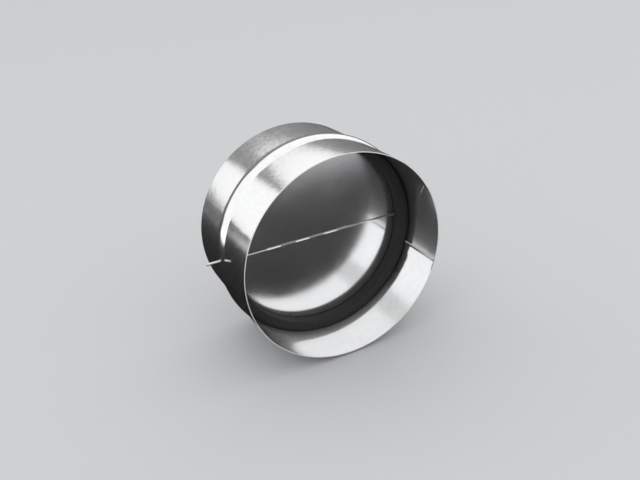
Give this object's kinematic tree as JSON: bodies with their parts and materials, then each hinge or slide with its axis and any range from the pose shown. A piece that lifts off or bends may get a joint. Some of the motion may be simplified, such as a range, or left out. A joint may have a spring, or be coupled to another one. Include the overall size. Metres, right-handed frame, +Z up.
{
  "type": "duct backdraft damper",
  "caption": "Round duct backdraft damper: beaded sheet-metal casing with half-round spring-closed butterfly blades on a hinge pin, sealing on a foam ring.",
  "frame": {"origin": "centre of the casing, on the duct's axis at the middle of the ring bead", "axes": "+Y along the duct with the air flow, from the inlet to the outlet; +X along the hinge pin; +Z up, across the pin"},
  "size_m": [0.179, 0.093, 0.1626],
  "materials": {
    "galvanised_sheet": "bright galvanised with faint spangle",
    "blade_sheet": "bright rolled",
    "foam": "matt cellular",
    "pin_steel": "zinc plated",
    "spring_steel": "drawn wire"
  },
  "bodies": {
    "casing": {"casing": "galvanised_sheet", "blade_gasket": "foam", "hinge_pin": "pin_steel", "closing_spring": "spring_steel"},
    "upper_blade": {"upper_blade": "blade_sheet"},
    "lower_blade": {"lower_blade": "blade_sheet"}
  },
  "joints": [
    {"name": "upper_blade_hinge", "type": "hinge", "parent": "casing", "child": "upper_blade", "pos_m": [0, 0.0059, 0], "axis": [-1, 0, 0], "range_deg": [0, 82], "stiffness_Nm_per_rad": 0.004, "springref_deg": -108.86, "deforming": ["closing_spring"]},
    {"name": "lower_blade_hinge", "type": "hinge", "parent": "casing", "child": "lower_blade", "pos_m": [0, 0.0059, 0], "axis": [1, 0, 0], "range_deg": [0, 82], "stiffness_Nm_per_rad": 0.004, "springref_deg": -108.86, "deforming": ["closing_spring"]}
  ]
}
